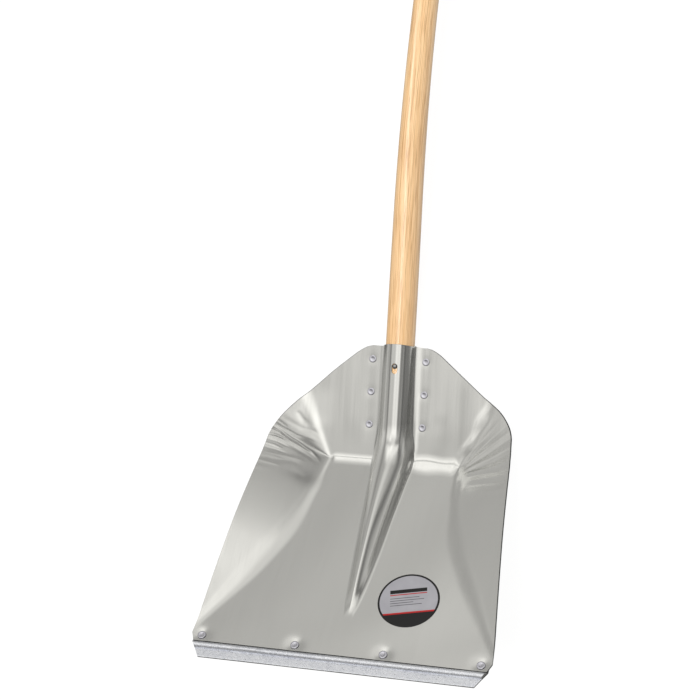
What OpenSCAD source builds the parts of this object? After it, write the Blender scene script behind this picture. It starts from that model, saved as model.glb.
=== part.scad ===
// Scoop snow shovel: a pressed sheet blade with a half-round handle socket,
// a riveted wear edge and a bent wooden handle.
// It lies on its heel and on the handle's free end, working face up.
// X is lateral, +Y runs from the wear edge to the handle's end, +Z is up.

/* [Blade] */
// Width of the blade across its front corners
blade_w = 400; // [360:2:440]
// Length of the flat floor from the front edge to the heel crease
floor_l = 306; // [280:2:330]
// Length of the sloped back panel from the heel crease to its top edge
panel_l = 154.5; // [140:0.5:165]
// Angle between the floor and the back panel
panel_a = 40.5; // [36:0.5:44]
// Straight length of the heel crease between the two rear corners
heel_w = 180; // [160:2:196]
// Rise of the side walls per millimetre outwards
wall_rise = 0.512; // [0.4:0.01:0.6]
// Sheet thickness
sheet_t = 2; // [1.5:0.1:2.4]
// How far the front corners are cut back
corner_cut = 11.5; // [8:0.5:14]

/* [Rib] */
// Distance of the rib's pointed tip from the front edge
rib_tip = 62; // [45:1:80]
// Height of the rib at the heel
rib_h = 28; // [24:1:32]
// Half width of the rib at the heel
rib_half = 27; // [25:0.5:30]

/* [Wear edge] */
// How far the strip reaches in front of the blade
lip_l = 23; // [18:0.5:30]
// Depth of the flange under the blade
flange_l = 24; // [20:1:30]
// Thickness of the strip
strip_t = 2; // [1.6:0.1:2.4]
// Radius of the rounded bead along the strip
bead_r = 4.3; // [3.8:0.1:4.6]

/* [Handle] */
// Overall length of the handle along its axis
handle_l = 1300; // [1200:10:1400]
// Diameter in the socket
socket_d = 39; // [37:0.5:40]
// Diameter of the free end
grip_d = 34; // [32:0.5:35]
// Angle of the bend
bend_a = 11.5; // [9:0.5:13]
// Radius of the bend's axis
bend_r = 1450; // [1300:10:1600]

/* [Fasteners] */
// Diameter of the rivet shanks
rivet_d = 5; // [4:0.1:5.4]
// Diameter of the socket rivets' heads
rivet_head_d = 10.2; // [9:0.1:11]
// Diameter of the edge rivets' heads
edge_head_d = 11.2; // [10:0.1:12]
// Distance between the two rows of socket rivets
rivet_row = 74.4; // [72:0.2:76]
// Pitch of the socket rivets along the panel
rivet_pitch = 44; // [42:0.5:46]
// Distance of the edge rivets from the front edge
edge_rivet_v = 8.8; // [8:0.2:11]

/* [Label] */
// Diameter of the round label on the floor
label_d = 81; // [60:1:84]

/* [Hidden] */
$fn = 64;

// ---- blade frame: u lateral, v from the front edge to the rear, w up ----
cu = heel_w / 2;
cv = floor_l;
ta = tan(panel_a);
ca = cos(panel_a);
sa = sin(panel_a);
handle_r = socket_d / 2;
play = 0.2;
axis_n = -1;                              // handle axis, measured from the panel's face
hump_r = handle_r + play + sheet_t;       // outer radius of the half-round socket
top_v = cv + panel_l * ca;

function smax(a, b, k) = let (h = max(k - abs(a - b), 0) / k) max(a, b) + h * h * k / 4;
function smin(a, b, k) = -smax(-a, -b, k);
function ease(a, b, x) = let (t = min(max((x - a) / (b - a), 0), 1)) t * t * (3 - 2 * t);

// half distance between the floor's two side creases
function crease(v) = let (d = v - 28)
    smax(blade_w / 2 - 2 - 0.62 * d + 0.0006 * d * d, cu + 0.165 * (cv - v), 14);

// each rear corner has a flat flank between the panel and the side wall;
// these are its slopes across and along the blade
flank_u = 0.495;
flank_v = 0.556;

// floor, side walls, flanks and back panel without the rib
function tray(u, v) =
    let (a = abs(u), du = a - cu, dv = v - cv,
         wall = wall_rise * (a - crease(v)),
         rho = norm([du, dv]),
         rear = smax(dv * ta, flank_u * du + flank_v * dv, 1.5 + 0.085 * rho),
         up = smax(rear, wall, max(0.22 * rho, 1)))
    smax(0, up, 6);

// half-round socket over the handle, with straight flanks that spread towards the heel
function socket_n(u, s) =
    let (a = abs(u), phi = 58 + 22 * ease(-20, 160, s), us = hump_r * sin(phi))
    a < us ? sqrt(hump_r * hump_r - a * a) + axis_n
           : hump_r * cos(phi) + axis_n - tan(phi) * (a - us);
// pointed rib on the floor: half width, crest height and section
function rib_at(v) = min(max((v - rib_tip) / (cv - rib_tip), 0), 1.25);
function rib_hw(v) = 5.2 + (rib_half - 5.2) * pow(rib_at(v), 0.92);
function rib_top(v) = rib_h * (1 - pow(1 - min(rib_at(v), 1), 1.7))
    + 1.2 * (1 - exp(-max(v - rib_tip, 0) / 12)) - smax(0.25 * (v - cv), 0, 5);
function rib_w(u, v) =
    let (hw = rib_hw(v), t = abs(u) / hw,
         p = 1.28 + 0.35 * ease(rib_tip, rib_tip + 138, v) + 0.85 * ease(cv - 146, cv - 6, v))
    (t < 1 ? rib_top(v) * pow(1 - pow(t, p), 1 / p) : -1.6 * (abs(u) - hw)) - 0.5 * max(rib_tip - v, 0);
function rib(u, v) = smax(rib_w(u, v), (v - cv) * ta + socket_n(u, (v - cv) / ca) / ca, 26);
function face(u, v) =
    smax(tray(u, v), rib(u, v), 4 + 4 * ease(cv + 24, cv + 84, v) + 2 * ease(cv - 21, cv + 24, v) + 2 * ease(230, 150, v));

// half width of the blade's outline: front corner, side, slanted top, rounded top corner
top_half = 47;
top_round = 9;
function rim(v) =
    let (q = min(max((v - top_v) / top_round + 1, 0), 1))
    v < corner_cut
    ? blade_w / 2 - 5 * (1 - v / corner_cut)
    : smin(blade_w / 2 - 0.109 * (v - corner_cut), top_half + 1.587 * (top_v - v), 60) - top_round * (1 - sqrt(1 - q * q));

// grid of the sheet: fixed columns over the rib, then spread out to the rim
cols_in = [0, 3, 6, 9, 12, 14.5, 16.8, 18.8, 20.4, 21.6, 22.8, 24.4, 27, 30, 34];
cols_out = 12;
function col_u(k, v) = let (n = len(cols_in) - 1)
    k <= n ? cols_in[k] : 34 + (rim(v) - 34) * pow((k - n) / cols_out, 0.94);
n_half = len(cols_in) - 1 + cols_out;
row_a = cv + 38;
row_b = top_v - top_round;
rows = concat([0, corner_cut], [for (v = [30 : 17 : cv - 38]) v],
              [for (i = [-28 : 5.5 : 38]) cv + i],
              [for (i = [1 : 8]) row_a + (row_b - row_a) * i / 8],
              [for (f = [0.5, 0.8, 0.95, 1]) row_b + top_round * f]);
// the top edge is cut nearly square to the panel over the half-round
function row_v(v, u) = v - (sa - 0.14) * max(socket_n(u, 150), 0) * pow(ease(row_a, top_v, v), 1.5);
function pt(v, u) = let (y = row_v(v, u)) [u, y, face(u, y)];
function nrm(p) = let (e = 0.4,
                       gx = (face(p[0] + e, p[1]) - face(p[0] - e, p[1])) / (2 * e),
                       gy = (face(p[0], p[1] + e) - face(p[0], p[1] - e)) / (2 * e),
                       l = sqrt(gx * gx + gy * gy + 1)) [-gx / l, -gy / l, 1 / l];
function sheet_top() = [for (v = rows) for (k = [-n_half : n_half])
    pt(v, (k < 0 ? -1 : 1) * col_u(abs(k), v))];

// ---- handle axis in the plane u = 0, as [v, w] ----
function axis_at(s) = [cv + s * ca - axis_n * sa, s * sa + axis_n * ca];
s_start = 38;                             // lower end of the handle in the socket
s_bend = 330;                             // start of the bend
end_a = panel_a - bend_a;
p_bend = axis_at(s_bend);
c_bend = p_bend + bend_r * [sa, -ca];
p_out = c_bend + bend_r * [-sin(end_a), cos(end_a)];
l_out = handle_l - (s_bend - s_start) - bend_r * bend_a * PI / 180;
l_grip = 60;                              // the plain round end starts here, after the bend
l_tip = 8;                                // length of the rounded tip
tip_r = 9;                                // radius of the flat at the very end
p_end = p_out + (l_out - l_tip) * [cos(end_a), sin(end_a)];
p_tip = p_out + l_out * [cos(end_a), sin(end_a)];
len_bend = bend_r * bend_a * PI / 180;
// point of the axis and its slope at the arc length l from the heel
function spine(l) =
    l <= s_bend ? concat(axis_at(l), panel_a)
    : l <= s_bend + len_bend
        ? let (a = panel_a - (l - s_bend) / bend_r * 180 / PI) concat(c_bend + bend_r * [-sin(a), cos(a)], a)
        : concat(p_out + (l - s_bend - len_bend) * [cos(end_a), sin(end_a)], end_a);
// radius along the handle: full in the socket, slimmer through the bend
function handle_rad(l) = let (t = min(max((l - 200) / 470, 0), 1)) handle_r - (handle_r - grip_d / 2) * (3 * t * t - 2 * t * t * t);
l_join = s_bend + len_bend + l_grip;

// ---- resting attitude: the heel and the handle's end touch the ground ----
sole = p_end + grip_d / 2 * [sin(end_a), -cos(end_a)];
heel = [for (v = [cv - 16 : 1 : cv + 16]) let (p = [60, v, tray(60, v)], n = nrm(p)) [v - sheet_t * n[1], p[2] - sheet_t * n[2]]];
rest_a = max([for (q = heel) atan2(sole[1] - q[1], sole[0] - q[0])]);
function to_y(q) = q[0] * cos(rest_a) + q[1] * sin(rest_a);
function to_z(q) = -q[0] * sin(rest_a) + q[1] * cos(rest_a);
y_front = to_y([-lip_l, -sheet_t - strip_t]);
y_back = to_y(p_tip) + tip_r * sin(rest_a - end_a);
shift = [0, -(y_front + y_back) / 2, -to_z(sole)];

module place() { translate(shift) rotate([-rest_a, 0, 0]) children(); }
// x across, y up the panel, z out of the panel's face
module on_panel() { place() translate([0, cv, 0]) rotate([panel_a, 0, 0]) children(); }

rivet_s = [for (i = [0 : 2]) 136.3 - i * rivet_pitch];
edge_rivet_u = [-185.9, -58.8, 58.8, 185.9];
bevel = atan(0.168);

module blade() {
    m = 2 * n_half + 1;
    r = len(rows);
    top = sheet_top();
    bot = [for (p = top) p - sheet_t * nrm(p)];
    o = r * m;
    faces = concat(
        [for (i = [0 : r - 2]) for (j = [0 : m - 2]) each
            [[i * m + j, (i + 1) * m + j, (i + 1) * m + j + 1], [i * m + j, (i + 1) * m + j + 1, i * m + j + 1]]],
        [for (i = [0 : r - 2]) for (j = [0 : m - 2]) each
            [[o + i * m + j, o + (i + 1) * m + j + 1, o + (i + 1) * m + j], [o + i * m + j, o + i * m + j + 1, o + (i + 1) * m + j + 1]]],
        [for (j = [0 : m - 2]) each [[j, j + 1, o + j + 1], [j, o + j + 1, o + j]]],
        [for (j = [0 : m - 2]) let (a = (r - 1) * m + j) each [[a, o + a + 1, a + 1], [a, o + a, o + a + 1]]],
        [for (i = [0 : r - 2]) let (a = i * m, b = (i + 1) * m) each [[a, o + b, b], [a, o + a, o + b]]],
        [for (i = [0 : r - 2]) let (a = i * m + m - 1, b = (i + 1) * m + m - 1) each [[a, b, o + b], [a, o + b, o + a]]]);
    color([0.76, 0.76, 0.75]) difference() {
        place() polyhedron(points = concat(top, bot), faces = faces, convexity = 6);
        for (s = rivet_s) for (x = [-1, 1]) on_panel() translate([x * rivet_row / 2, s, -8]) cylinder(d = rivet_d + 0.1, h = 12, $fn = 32);
        for (x = edge_rivet_u) place() translate([x, edge_rivet_v, -5]) cylinder(d = rivet_d + 0.1, h = 9, $fn = 32);
        on_panel() screw_slot();
    }
}

// slot in the half-round socket that shows the handle under the screw
module screw_slot() {
    for (s = [122.6, 128.6]) translate([0, s, 12]) cylinder(d = 8, h = 14, $fn = 32);
    translate([-4, 122.6, 12]) cube([8, 6, 14]);
}

module socket_plate() {
    ri = handle_r + play;
    color([0.72, 0.72, 0.72]) difference() {
        union() {
            on_panel() translate([-47, 14, -sheet_t - 2.05]) cube([94, 132, 2]);
            intersection() {
                on_panel() translate([0, 14, axis_n]) rotate([-90, 0, 0]) cylinder(r = ri + 1.6, h = 132);
                on_panel() translate([-40, 14, -60]) cube([80, 132, 60 - sheet_t - 0.05]);
                on_panel() translate([0, 34, axis_n - play - 1.6]) rotate([-bevel, 0, 0]) translate([-40, -60, 0]) cube([80, 260, 80]);
            }
        }
        intersection() {
            on_panel() translate([0, 20, axis_n]) rotate([-90, 0, 0]) cylinder(r = ri, h = 160);
            on_panel() translate([0, 34, axis_n - play]) rotate([-bevel, 0, 0]) translate([-40, -60, 0]) cube([80, 280, 80]);
        }
        for (s = rivet_s) for (x = [-1, 1]) on_panel() translate([x * rivet_row / 2, s, -8]) cylinder(d = rivet_d + 0.1, h = 8, $fn = 32);
    }
}

module wear_edge() {
    b = -sheet_t - strip_t;
    half = blade_w / 2 - 3.5;
    color([0.78, 0.8, 0.83]) difference() {
        place() rotate([90, 0, 90]) translate([0, 0, -half]) linear_extrude(height = 2 * half) union() {
            translate([-bead_r - 1.2, b]) square([flange_l + bead_r + 1.2, strip_t - 0.05]);
            intersection() {
                translate([-bead_r - 1.2, b + bead_r - 1.7]) circle(r = bead_r, $fn = 48);
                translate([-20, b]) square([20, 20]);
            }
            translate([-lip_l + strip_t / 2, b]) square([lip_l - strip_t / 2 - bead_r, strip_t]);
            translate([-lip_l + strip_t / 2, b + strip_t / 2]) circle(d = strip_t, $fn = 32);
        }
        for (x = [-1, 1]) place() translate([x * half, 0, 0]) rotate([0, 0, -x * atan(13.5 / lip_l)]) translate([x > 0 ? 0 : -30, -60, -20]) cube([30, 60, 40]);
        for (x = edge_rivet_u) place() translate([x, edge_rivet_v, b - 1]) cylinder(d = rivet_d + 0.1, h = 6, $fn = 32);
        for (x = edge_rivet_u) place() translate([x, edge_rivet_v, b - 0.001]) cylinder(d1 = rivet_d + 3.1, d2 = rivet_d + 0.1, h = 1.5, $fn = 32);
    }
}

module handle() {
    sides = 48;
    at = concat([s_start, 80, 120, 160, 200], [for (i = [1 : 4]) 200 + (s_bend - 200) * i / 4],
                [for (i = [1 : 10]) s_bend + len_bend * i / 10], [l_join - 8, l_join, l_join + 5]);
    rad = [for (l = at) l < l_join - 1 ? handle_rad(l) : grip_d / 2 - 0.5];
    n = len(at);
    pts = [for (i = [0 : n - 1]) let (c = spine(at[i])) for (k = [0 : sides - 1])
        let (x = rad[i] * cos(k * 360 / sides), y = rad[i] * sin(k * 360 / sides)) [x, c[0] - y * sin(c[2]), c[1] + y * cos(c[2])]];
    faces = concat(
        [[for (k = [0 : sides - 1]) sides - 1 - k]],
        [for (i = [0 : n - 2]) for (k = [0 : sides - 1]) let (k2 = (k + 1) % sides)
            each [[i * sides + k, i * sides + k2, (i + 1) * sides + k2], [i * sides + k, (i + 1) * sides + k2, (i + 1) * sides + k]]],
        [[for (k = [0 : sides - 1]) (n - 1) * sides + k]]);
    g = grip_d / 2;
    l = l_out - l_grip;
    color([0.92, 0.77, 0.6]) difference() {
        union() {
            place() polyhedron(points = pts, faces = faces, convexity = 4);
            place() translate([0, p_out[0], p_out[1]]) rotate([end_a - 90, 0, 0]) translate([0, 0, l_grip])
                rotate_extrude($fn = 64) polygon([[0, 0], [g, 0], [g, l - l_tip], [g - 0.7, l - 4.8], [g - 2.4, l - 2.2], [g - 5, l - 0.6], [tip_r, l], [0, l]]);
        }
        on_panel() translate([0, 34, axis_n]) rotate([-bevel, 0, 0]) translate([-60, -80, -80]) cube([120, 197, 80]);
        on_panel() translate([0, 128.6, axis_n - 6]) cylinder(d = 4.1, h = 40, $fn = 32);
    }
}

module handle_screw() {
    color([0.25, 0.25, 0.26]) {
        on_panel() translate([0, 128.6, axis_n - 5.9]) cylinder(d = 4, h = handle_r + 6.1, $fn = 32);
        on_panel() intersection() {
            translate([0, 128.6, axis_n + handle_r + 0.05]) cylinder(d = 6.4, h = 3, $fn = 32);
            translate([0, 128.6, axis_n + handle_r - 1.2]) sphere(r = 4, $fn = 48);
        }
    }
}

// domed head, shank and set end of one rivet, seen from the working face
module rivet(len, back, head) {
    hr = head / 2;
    dome = 1.9;
    sr = (hr * hr + dome * dome) / (2 * dome);
    intersection() {
        translate([0, 0, dome - sr]) sphere(r = sr, $fn = 48);
        translate([0, 0, 0.03]) cylinder(r = hr, h = dome + 1, $fn = 48);
    }
    translate([0, 0, -len]) cylinder(d = rivet_d, h = len + 0.5, $fn = 32);
    if (back) translate([0, 0, -len - 1.6]) cylinder(d1 = rivet_d + 1.6, d2 = rivet_d + 3.4, h = 1.62, $fn = 32);
    else translate([0, 0, -len]) cylinder(d1 = rivet_d + 3, d2 = rivet_d, h = 1.5, $fn = 32);
}
module socket_rivet(x, i) { color([0.8, 0.8, 0.8]) on_panel() translate([x * rivet_row / 2, rivet_s[i], 0]) rivet(sheet_t + 2.1, true, rivet_head_d); }
module edge_rivet(i) { color([0.8, 0.8, 0.8]) place() translate([edge_rivet_u[i], edge_rivet_v, 0]) rivet(sheet_t + strip_t, false, edge_head_d); }
module socket_rivet_left_1() { socket_rivet(-1, 0); }
module socket_rivet_left_2() { socket_rivet(-1, 1); }
module socket_rivet_left_3() { socket_rivet(-1, 2); }
module socket_rivet_right_1() { socket_rivet(1, 0); }
module socket_rivet_right_2() { socket_rivet(1, 1); }
module socket_rivet_right_3() { socket_rivet(1, 2); }
module edge_rivet_1() { edge_rivet(0); }
module edge_rivet_2() { edge_rivet(1); }
module edge_rivet_3() { edge_rivet(2); }
module edge_rivet_4() { edge_rivet(3); }

module label() {
    color([0.8, 0.79, 0.83]) place() translate([73, 91, 0.02]) cylinder(d = label_d, h = 0.25, $fn = 96);
}

blade();
socket_plate();
wear_edge();
handle();
handle_screw();
socket_rivet_left_1();
socket_rivet_left_2();
socket_rivet_left_3();
socket_rivet_right_1();
socket_rivet_right_2();
socket_rivet_right_3();
edge_rivet_1();
edge_rivet_2();
edge_rivet_3();
edge_rivet_4();
label();
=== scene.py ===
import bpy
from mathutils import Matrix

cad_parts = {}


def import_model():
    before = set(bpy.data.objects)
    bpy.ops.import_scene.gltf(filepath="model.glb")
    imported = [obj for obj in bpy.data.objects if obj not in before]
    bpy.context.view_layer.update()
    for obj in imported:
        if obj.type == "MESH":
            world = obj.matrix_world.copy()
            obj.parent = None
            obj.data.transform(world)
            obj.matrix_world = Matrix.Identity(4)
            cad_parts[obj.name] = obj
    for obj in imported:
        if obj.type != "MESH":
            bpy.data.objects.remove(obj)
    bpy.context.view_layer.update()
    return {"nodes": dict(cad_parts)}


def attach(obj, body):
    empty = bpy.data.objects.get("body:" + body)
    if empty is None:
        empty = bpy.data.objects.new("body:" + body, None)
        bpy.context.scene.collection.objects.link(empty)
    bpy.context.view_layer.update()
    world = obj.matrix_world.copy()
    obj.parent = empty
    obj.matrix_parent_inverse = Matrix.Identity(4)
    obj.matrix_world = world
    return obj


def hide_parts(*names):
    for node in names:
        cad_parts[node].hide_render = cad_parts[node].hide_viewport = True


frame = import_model()

import math
import bmesh
import bpy
import numpy as np
from mathutils import Matrix, Vector

# ---------------------------------------------------------------------------
# shared dimensions, in millimetres, in the blade frame:
# u lateral, v from the front edge to the rear, w up from the flat floor
# ---------------------------------------------------------------------------
REST = math.radians(32.3754)
SHIFT = np.array([0.0, -785.123, 164.878])
ALPHA = math.radians(40.5)
SA, CA, TA = math.sin(ALPHA), math.cos(ALPHA), math.tan(ALPHA)
CV, CU = 306.0, 90.0
PANEL_L = 154.5
TOP_V = CV + PANEL_L * CA
SHEET = 2.0
AXIS_N = -1.0
HANDLE_R = 19.5
HUMP_R = HANDLE_R + 0.2 + SHEET
RIB_TIP, RIB_H, RIB_HALF = 62.0, 28.0, 27.0
CORNER = 11.5
RIVET_S = [136.3, 92.3, 48.3]
RIVET_U = 37.2
EDGE_U = [-185.9, -58.8, 58.8, 185.9]
EDGE_V = 8.8

_c, _s = math.cos(REST), math.sin(REST)
ROT = np.array([[1, 0, 0], [0, _c, _s], [0, -_s, _c]])


def world(p):
    """Blade frame in millimetres to the row frame in metres."""
    return (np.asarray(p, float) @ ROT.T + SHIFT) * 0.001


def panel_pt(x, s, n):
    """Across, up the panel and out of its face, to the blade frame."""
    x, s, n = np.broadcast_arrays(np.asarray(x, float), s, n)
    return np.stack([x, CV + s * CA - n * SA, s * SA + n * CA], -1)


def smax(a, b, k):
    h = np.maximum(k - np.abs(a - b), 0) / k
    return np.maximum(a, b) + h * h * k / 4


def smooth(a, b, x):
    t = np.clip((x - a) / (b - a), 0, 1)
    return t * t * (3 - 2 * t)


# ---------------------------------------------------------------------------
# mesh helpers
# ---------------------------------------------------------------------------
def make(name, verts, faces, smooth_all=True):
    me = bpy.data.meshes.new(name)
    me.from_pydata([tuple(map(float, v)) for v in verts], [], [tuple(int(i) for i in f) for f in faces])
    me.validate()
    me.update()
    if smooth_all:
        me.polygons.foreach_set("use_smooth", [True] * len(me.polygons))
    ob = bpy.data.objects.new(name, me)
    bpy.context.scene.collection.objects.link(ob)
    return ob


def attr(ob, name, vec):
    a = ob.data.attributes.new(name, "FLOAT_VECTOR", "POINT")
    a.data.foreach_set("vector", np.asarray(vec, np.float32).ravel())


def finish_piece(ob, node, mat):
    if not ob.data.materials:
        ob.data.materials.append(mat)
    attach(ob, "root")
    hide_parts(node)


def sharp_by_angle(ob, deg):
    bm = bmesh.new()
    bm.from_mesh(ob.data)
    lim = math.radians(deg)
    for e in bm.edges:
        if len(e.link_faces) == 2 and e.calc_face_angle(0) > lim:
            e.smooth = False
    bm.to_mesh(ob.data)
    bm.free()


# ---------------------------------------------------------------------------
# node helpers
# ---------------------------------------------------------------------------
class Nodes:
    def __init__(self, name):
        self.mat = bpy.data.materials.new(name)
        self.mat.use_nodes = True
        self.t = self.mat.node_tree
        self.bsdf = self.t.nodes["Principled BSDF"]

    def add(self, kind, **kw):
        n = self.t.nodes.new(kind)
        for k, v in kw.items():
            setattr(n, k, v)
        return n

    def link(self, a, b):
        self.t.links.new(a, b)

    def attribute(self, name):
        return self.add("ShaderNodeAttribute", attribute_name=name).outputs["Vector"]

    def scaled(self, vec, scale, loc=(0, 0, 0), rot=(0, 0, 0)):
        m = self.add("ShaderNodeMapping")
        self.link(vec, m.inputs["Vector"])
        m.inputs["Scale"].default_value = scale
        m.inputs["Location"].default_value = loc
        m.inputs["Rotation"].default_value = rot
        return m.outputs["Vector"]

    def noise(self, vec, scale=1.0, detail=3.0, rough=0.5, dist=0.0):
        n = self.add("ShaderNodeTexNoise")
        self.link(vec, n.inputs["Vector"])
        n.inputs["Scale"].default_value = scale
        n.inputs["Detail"].default_value = detail
        n.inputs["Roughness"].default_value = rough
        n.inputs["Distortion"].default_value = dist
        return n.outputs["Fac"]

    def ramp(self, fac, stops, interp="LINEAR"):
        r = self.add("ShaderNodeValToRGB")
        r.color_ramp.interpolation = interp
        e = r.color_ramp.elements
        while len(e) > 1:
            e.remove(e[-1])
        e[0].position, e[0].color = stops[0][0], (*stops[0][1], 1)
        for p, c in stops[1:]:
            x = e.new(p)
            x.color = (*c, 1)
        self.link(fac, r.inputs["Fac"])
        return r.outputs["Color"]

    def math(self, op, a, b=None, clamp=False):
        n = self.add("ShaderNodeMath", operation=op, use_clamp=clamp)
        for i, x in enumerate((a, b)):
            if x is None:
                continue
            if isinstance(x, (int, float)):
                n.inputs[i].default_value = x
            else:
                self.link(x, n.inputs[i])
        return n.outputs[0]

    def mix(self, fac, a, b, mode="MIX"):
        n = self.add("ShaderNodeMix", data_type="RGBA", blend_type=mode)
        for i, x in ((0, fac), (6, a), (7, b)):
            if isinstance(x, (int, float)):
                n.inputs[i].default_value = x
            elif isinstance(x, tuple):
                n.inputs[i].default_value = (*x, 1)
            else:
                self.link(x, n.inputs[i])
        return n.outputs[2]

    def range(self, v, a, b, c, d):
        n = self.add("ShaderNodeMapRange")
        self.link(v, n.inputs[0])
        for i, x in enumerate((a, b, c, d)):
            n.inputs[i + 1].default_value = x
        return n.outputs[0]

    def bump(self, height, strength, dist, normal=None):
        n = self.add("ShaderNodeBump")
        n.inputs["Strength"].default_value = strength
        n.inputs["Distance"].default_value = dist
        self.link(height, n.inputs["Height"])
        if normal is not None:
            self.link(normal, n.inputs["Normal"])
        return n.outputs["Normal"]

    def set(self, **kw):
        for k, v in kw.items():
            s = self.bsdf.inputs[k.replace("_", " ")]
            if isinstance(v, (int, float)):
                s.default_value = v
            elif isinstance(v, tuple):
                s.default_value = (*v, 1)
            else:
                self.link(v, s)


# ---------------------------------------------------------------------------
# materials
# ---------------------------------------------------------------------------
def mat_aluminium(name, tone=0.80, rough=0.30, coord="sheet"):
    """Bare rolled sheet: fine lines along the rolling direction, faint smears, and painted shade and painted highlights
    from the zone attribute.
    """
    m = Nodes(name)
    p = m.attribute(coord)
    fine = m.noise(m.scaled(p, (1.6, 0.012, 1.0)), 1.0, 4.0, 0.65)
    wide = m.noise(m.scaled(p, (0.11, 0.0035, 0.2)), 1.0, 3.0, 0.6)
    smear = m.noise(m.scaled(p, (0.02, 0.008, 0.02)), 1.0, 3.0, 0.5, 0.6)
    speck = m.noise(m.scaled(p, (0.9, 0.9, 0.9)), 1.0, 2.0, 0.5)
    zone = m.add("ShaderNodeSeparateXYZ")
    m.link(m.attribute("zone"), zone.inputs[0])
    tone_f = m.math("ADD", m.math("MULTIPLY", fine, 0.35), m.math("MULTIPLY", wide, 0.65))
    tone_f = m.math("ADD", 0.5, m.math("MULTIPLY", m.math("SUBTRACT", tone_f, 0.5), m.range(zone.outputs[0], 0.0, 1.0, 0.16, 1.0)))
    lo, hi = tone * 0.88, min(tone * 1.08, 0.95)
    col = m.ramp(tone_f, [(0.30, (lo, lo, lo * 0.985)), (0.70, (hi, hi, hi * 0.985))])
    col = m.mix(m.range(smear, 0.35, 0.7, 0.0, 0.10), col, (tone * 0.90, tone * 0.90, tone * 0.885))
    # painted shade and painted highlights along the socket and rib: near-black lines between near-white ones, plus
    # patches in the rear corners, streaks on the panel and a light line on the right fold's ridge
    col = m.mix(zone.outputs[2], col, (0.97, 0.97, 0.955))
    col = m.mix(zone.outputs[1], col, (0.20, 0.20, 0.195))
    m.set(Base_Color=col, Metallic=1.0)
    r = m.math("ADD", m.range(fine, 0.3, 0.7, rough - 0.04, rough + 0.05), m.range(smear, 0.3, 0.7, -0.02, 0.04))
    m.set(Roughness=r)
    amount = m.range(zone.outputs[0], 0.0, 1.0, 0.04, 0.9)
    streak = m.math("MULTIPLY", m.math("ADD", m.math("MULTIPLY", fine, 0.35), wide), amount)
    n1 = m.bump(streak, 0.05, 0.0010)
    n2 = m.bump(speck, 0.012, 0.0008, n1)
    m.set(Normal=n2)
    return m.mat


def mat_galvanised():
    """Zinc coat: small bluish crystals and tiny dark pits."""
    m = Nodes("galvanised_steel")
    p = m.attribute("sheet")
    v = m.add("ShaderNodeTexVoronoi", feature="F1")
    m.link(m.scaled(p, (0.42, 0.55, 0.55)), v.inputs["Vector"])
    v.inputs["Scale"].default_value = 1.0
    hue = m.add("ShaderNodeSeparateColor")
    m.link(v.outputs["Color"], hue.inputs[0])
    pits = m.noise(m.scaled(p, (0.75, 0.75, 0.75)), 1.0, 3.0, 0.6)
    drift = m.noise(m.scaled(p, (0.018, 0.05, 0.05)), 1.0, 2.0, 0.5)
    col = m.ramp(hue.outputs[0], [(0.0, (0.72, 0.74, 0.81)), (0.5, (0.80, 0.82, 0.89)), (1.0, (0.88, 0.89, 0.95))])
    col = m.mix(m.range(drift, 0.40, 0.60, 0.0, 0.45), col, (0.91, 0.925, 0.97))
    col = m.mix(m.range(pits, 0.58, 0.68, 0.0, 0.85), col, (0.26, 0.265, 0.30))
    m.set(Base_Color=col, Metallic=0.78)
    m.set(Roughness=m.math("ADD", m.range(hue.outputs[1], 0.0, 1.0, 0.24, 0.36), m.range(pits, 0.4, 0.7, 0.0, 0.10)))
    m.set(Normal=m.bump(m.math("ADD", m.math("MULTIPLY", pits, -0.6), m.math("MULTIPLY", hue.outputs[2], 0.3)), 0.22, 0.0006))
    return m.mat


def mat_ash():
    """Sanded ash: straight lengthwise grain with soft bands and short pores."""
    m = Nodes("ash_wood")
    p = m.attribute("grain")
    rings = m.noise(m.scaled(p, (0.075, 0.045, 0.0011)), 1.0, 2.0, 0.5, 0.35)
    wave = m.math("FRACT", m.math("MULTIPLY", rings, 13.0))
    band = m.math("SUBTRACT", 1.0, m.math("ABSOLUTE", m.math("SUBTRACT", m.math("MULTIPLY", wave, 2.0), 1.0)))
    fibre = m.noise(m.scaled(p, (0.85, 0.85, 0.007)), 1.0, 4.0, 0.65)
    pores = m.noise(m.scaled(p, (1.5, 1.5, 0.018)), 1.0, 2.0, 0.5)
    tint = m.noise(m.scaled(p, (0.02, 0.02, 0.003)), 1.0, 2.0, 0.5)
    col = m.ramp(band, [(0.0, (0.60, 0.335, 0.135)), (0.28, (0.80, 0.50, 0.245)), (1.0, (0.88, 0.60, 0.325))])
    gs = m.add("ShaderNodeSeparateXYZ")
    m.link(p, gs.inputs[0])
    col = m.mix(m.range(gs.outputs[2], 150.0, 330.0, 0.50, 0.0), col, (0.74, 0.43, 0.19))
    col = m.mix(m.range(tint, 0.35, 0.65, 0.0, 0.35), col, (0.82, 0.51, 0.265))
    col = m.mix(m.range(fibre, 0.38, 0.62, 0.0, 0.5), col, (0.88, 0.63, 0.37))
    col = m.mix(m.range(pores, 0.52, 0.64, 0.0, 0.85), col, (0.46, 0.235, 0.09))
    m.set(Base_Color=col)
    m.set(Roughness=m.range(fibre, 0.3, 0.7, 0.38, 0.54))
    m.bsdf.inputs["Specular IOR Level"].default_value = 0.30
    m.bsdf.inputs["Coat Weight"].default_value = 1.0
    m.bsdf.inputs["Coat Roughness"].default_value = 0.20
    m.set(Normal=m.bump(m.math("ADD", fibre, m.math("MULTIPLY", pores, -0.6)), 0.12, 0.0005))
    return m.mat


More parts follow.
